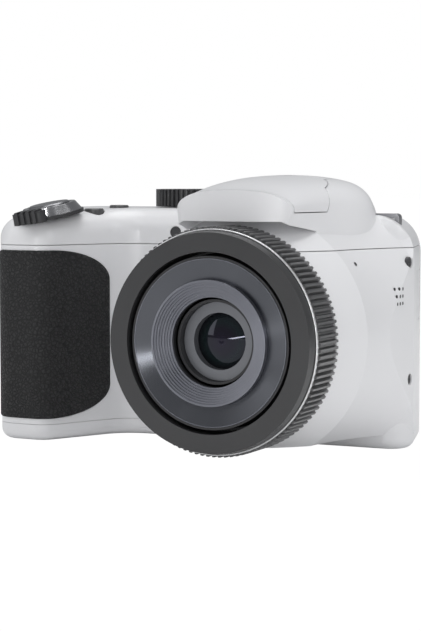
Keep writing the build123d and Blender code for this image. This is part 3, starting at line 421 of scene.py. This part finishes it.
def rear_marks():
    """Generic signs on the rear keys, with arrows and a ring on the four-way pad."""
    bin_body = [(-0.62, -1.0), (0.62, -1.0), (0.8, 0.5), (-0.8, 0.5)]
    bin_lid, bin_handle = bar(-1.0, 0.7, 1.0, 0.95), bar(-0.35, 0.95, 0.35, 1.2)
    signs = {
        "menu": [bar(-1.1, y - 0.16, 1.1, y + 0.16) for y in (-0.75, 0.0, 0.75)],
        "play": [[(-0.7, -0.95), (1.0, 0.0), (-0.7, 0.95)]],
        "delete": [bin_body, bin_lid, bin_handle],
        "display": hollow_bar(across=1.2, up=0.9, line=0.25),
        "record": [disc_outline(1.25)],
    }
    for key, outlines in signs.items():
        mat = MATS["record_red" if key == "record" else "mark_grey"]
        plate(f"{key}_mark", outlines, back_of(f"{key}_button"), key, mat)
    arrow = [(6.1, -0.75), (7.2, 0.0), (6.1, 0.75)]
    arrows = [turned(arrow, quarter * math.pi / 2) for quarter in range(4)]
    plate("pad_arrows", arrows, back_of("four_way_pad"), "pad", MATS["mark_grey"])
    plate("set_mark", arc_band(1.0, 1.35, count=28), back_of("set_button"), "set", MATS["mark_grey"])


def top_marks():
    """An open ring with a stroke on the power button, and three stepped bars on the burst button."""
    ring = arc_band(1.0, 1.3, count=24, start=125, end=415)
    stroke = bar(-0.15, 0.35, 0.15, 1.6)
    plate("power_mark", ring + [stroke], top_of("power_button"), "power", MATS["mark_grey"])
    steps = [bar(-1.2 + d, -0.8 + d, 0.5 + d, -0.62 + d) for d in (0.0, 0.45, 0.9)]
    plate("burst_mark", steps, top_of("burst_button"), "burst", MATS["mark_grey"])


def dial_marks():
    """Plain numbers round the top of the mode dial, between two fine rings."""
    surface = top_of("mode_dial")
    plate("dial_ring", arc_band(8.75, 8.95, count=72), surface, "dial", MATS["mark_grey"])
    plate("dial_hub", arc_band(4.0, 4.2, count=48), surface, "dial", MATS["mark_grey"])
    number_radius, number_height, number_count = 6.5, 2.9, 8
    for n in range(number_count):
        angle = 2 * math.pi * n / number_count
        along = Vector((math.sin(angle), math.cos(angle), 0))
        curve = bpy.data.curves.new(f"dial_number_{n + 1}", "FONT")
        curve.body = str(n + 1)
        curve.size = number_height * MM
        curve.extrude = 0.04 * MM
        curve.align_x = "CENTER"
        curve.align_y = "CENTER"
        obj = bpy.data.objects.new(f"dial_number_{n + 1}", curve)
        obj.location = (Vector(surface[0]) + along * number_radius) * MM
        obj.rotation_euler = (0, 0, -angle)
        scene.collection.objects.link(obj)
        curve.materials.append(MATS["mark_white"])
        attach(obj, "dial")


# Painted shade in the sound holes and in the side screws' cross recesses, as dark discs and crosses; rolled
# ring edges

SOUND_Y, SOUND_Z, SOUND_PITCH = -21.5, 44.0, 2.0    # three rows of three holes in the right end
MIC_HOLE = Vector((29.6, -36.0, 54.2))
SCREW_RADIUS = 1.5
# Thickness of the dark discs that paint shade in the sound holes
SHADE_DISC_THICK = 0.01
RAY_START = 8.0    # a line that looks for the shell starts this far outside


def skin_point(nodes, start, direction):
    """First point, in millimetres, where a line meets the outside of one of the nodes."""
    best = None
    for node in nodes:
        obj = frame["nodes"][node]
        back = obj.matrix_world.inverted()
        hit, spot, _, _ = obj.ray_cast(back @ (Vector(start) * MM), back.to_3x3() @ Vector(direction))
        if hit:
            spot = obj.matrix_world @ spot / MM
            if best is None or (spot - Vector(start)).length < (best - Vector(start)).length:
                best = spot
    return best


def shade_discs_in_sound_holes():
    """Painted shade in each sound hole: a dark disc across the hole, laid along the shell between two points
    beside it.
    """
    outside = box_mm("front_cover")[1].x + RAY_START
    beside = 0.75
    for n in range(9):
        y = SOUND_Y + SOUND_PITCH * (n % 3 - 1)
        z = SOUND_Z + SOUND_PITCH * (n // 3 - 1)
        near, far = (skin_point(["front_cover"], (outside, y + k, z), (-1, 0, 0)) for k in (-beside, beside))
        surface = (near + far) / 2, (far - near).normalized(), (0, 0, 1)
        plate(f"sound_hole_shade_{n + 1}", [disc_outline(radius=0.5, count=16)], surface, "camera",
              MATS["inner_black"], thick=SHADE_DISC_THICK)


def mic_hole_shade():
    """Painted shade in the microphone hole, which points away from the lens axis: a dark disc across its
    mouth.
    """
    angle = math.atan2(MIC_HOLE.z - LENS_Z, MIC_HOLE.x)
    out, back = Vector((math.cos(angle), 0, math.sin(angle))), Vector((0, 1, 0))
    beside = MIC_HOLE + back * 0.9
    skin = skin_point(["front_cover", "top_cover"], beside + out * RAY_START, -out)
    mouth = MIC_HOLE + out * (skin - MIC_HOLE).dot(out)
    plate("mic_hole_shade", [disc_outline(radius=0.57, count=16)], (mouth, back, out.cross(back)), "camera",
          MATS["inner_black"], thick=SHADE_DISC_THICK)


def screw_recess_shades():
    """Painted shade of the cross recesses: dark flat crosses on the heads of the two side screws."""
    low, high = box_mm("side_screws")
    for tag, z in (("low", low.z + SCREW_RADIUS), ("high", high.z - SCREW_RADIUS)):
        surface = (high.x, (low.y + high.y) / 2, z), (0, 1, 0), (0, 0, 1)
        plate(f"screw_cross_shade_{tag}", cross(arm=0.95, half_width=0.17), surface, "camera",
              MATS["inner_black"], thick=0.03)


def rolled_edge(name, node, inset, proud, thick, body, mat):
    """Fine rolled edge round the front of a lens ring, which draws a clean line of light.

    inset is from the ring's outer radius, and proud is how far its middle stands before the ring's face.
    """
    low, high = box_mm(node)
    bpy.ops.mesh.primitive_torus_add(major_radius=(high.x - inset) * MM, minor_radius=thick * MM,
                                     major_segments=180, minor_segments=10,
                                     location=Vector((0, low.y - proud, LENS_Z)) * MM,
                                     rotation=(math.pi / 2, 0, 0))
    obj = bpy.context.object
    obj.name = name
    obj.data.polygons.foreach_set("use_smooth", [True] * len(obj.data.polygons))
    obj.data.materials.append(mat)
    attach(obj, body)


rear_marks()
top_marks()
dial_marks()
shade_discs_in_sound_holes()
mic_hole_shade()
screw_recess_shades()
rolled_edge("line_ring_edge", "lens_line_ring", inset=0.13, proud=0.05, thick=0.2, body="camera",
            mat=MATS["chrome_line"])
rolled_edge("bowl_rim_edge", "front_bowl_ring", inset=0.18, proud=-0.05, thick=0.14, body="zoom_tube",
            mat=MATS["step_grey"])


# View, with its place and lens as solved from the photograph

CAMERA_PLACE = (207.2, -479.1, 76.0)
AZIMUTH, ELEVATION = math.radians(26.64), math.radians(4.38)
FOCAL_LENGTH, SENSOR_WIDTH = 101.46, 36.0
CLIP_NEAR, CLIP_FAR = 0.02, 60.0    # in metres


def camera():
    back = Vector((math.sin(AZIMUTH) * math.cos(ELEVATION), -math.cos(AZIMUTH) * math.cos(ELEVATION),
                   math.sin(ELEVATION)))
    data = bpy.data.cameras.new("view")
    data.lens = FOCAL_LENGTH
    data.sensor_width = SENSOR_WIDTH
    data.clip_start, data.clip_end = CLIP_NEAR, CLIP_FAR
    cam = bpy.data.objects.new("view", data)
    cam.location = Vector(CAMERA_PLACE) * MM
    cam.rotation_mode = "QUATERNION"
    cam.rotation_quaternion = (-back).to_track_quat("-Z", "Y")
    scene.collection.objects.link(cam)
    scene.camera = cam


# Light and floor, in metres and watts

AIM = Vector((-0.02, -0.03, 0.035))
FLOOR_SIZE = 12.0
WHITE = (1, 1, 1, 1)
FLOOR_WHITE = (0.94, 0.94, 0.94, 1)
COOL_WHITE = (0.95, 0.97, 1.0, 1)


def softbox(name, place, power, width, height=None, roll=0.0):
    """Area light aimed at the object: a rectangle, or a disc where it has no height."""
    data = bpy.data.lights.new(name, "AREA")
    data.shape = "RECTANGLE" if height else "DISK"
    data.size = width
    if height:
        data.size_y = height
    data.energy = power
    obj = bpy.data.objects.new(name, data)
    obj.location = place
    obj.rotation_mode = "QUATERNION"
    turn = (AIM - Vector(place)).to_track_quat("-Z", "Y")
    obj.rotation_quaternion = turn @ Quaternion((0, 0, 1), math.radians(roll))
    scene.collection.objects.link(obj)


def show_camera(tree, seen, other, out):
    """Join two shaders to an output: the view sees the first one, and all other rays the second."""
    path = new_node(tree, "LightPath")
    mix = new_node(tree, "MixShader")
    tree.links.new(path.outputs["Is Camera Ray"], mix.inputs[0])
    tree.links.new(other.outputs[0], mix.inputs[1])
    tree.links.new(seen.outputs[0], mix.inputs[2])
    tree.links.new(mix.outputs[0], out.inputs[0])


def world():
    """Studio that looks white in the view and gives the object a weaker, slightly cool light."""
    studio = bpy.data.worlds.new("studio")
    studio.use_nodes = True
    scene.world = studio
    tree = studio.node_tree
    tree.nodes.clear()
    out = new_node(tree, "OutputWorld")
    white = new_node(tree, "Background", Color=WHITE, Strength=1.0)
    soft = new_node(tree, "Background", Color=COOL_WHITE, Strength=0.3)
    show_camera(tree, white, soft, out)


def ground():
    """Matt floor that looks plain white in the view."""
    bpy.ops.mesh.primitive_plane_add(size=FLOOR_SIZE, location=(0, 0, 0))
    floor = bpy.context.object
    floor.name = "ground"
    mat, tree, bsdf = new_material("ground_white")
    put(bsdf, Base_Color=FLOOR_WHITE, Roughness=0.9)
    glow = new_node(tree, "Emission", Color=WHITE, Strength=1.02)
    out = next(n for n in tree.nodes if n.type == "OUTPUT_MATERIAL")
    show_camera(tree, glow, bsdf, out)
    floor.data.materials.append(mat)


camera()
world()
ground()
softbox("top_box", (0.0, 0.05, 1.1), power=7.0, width=0.9, height=0.8)
softbox("left_box", (-0.9, -0.75, 0.45), power=2.2, width=0.5, height=0.8)
softbox("right_box", (1.0, -0.35, 0.5), power=3.6, width=0.5, height=0.8)
softbox("front_box", (-0.45, -1.05, 1.0), power=1.1, width=0.5, height=0.4)
softbox("key_strip", (0.07, -1.28, 0.06), power=2.8, width=1.1, height=0.04, roll=10.7)
softbox("spark", (-0.10, -0.75, 0.85), power=0.5, width=0.05)
scene.view_settings.view_transform = "Standard"
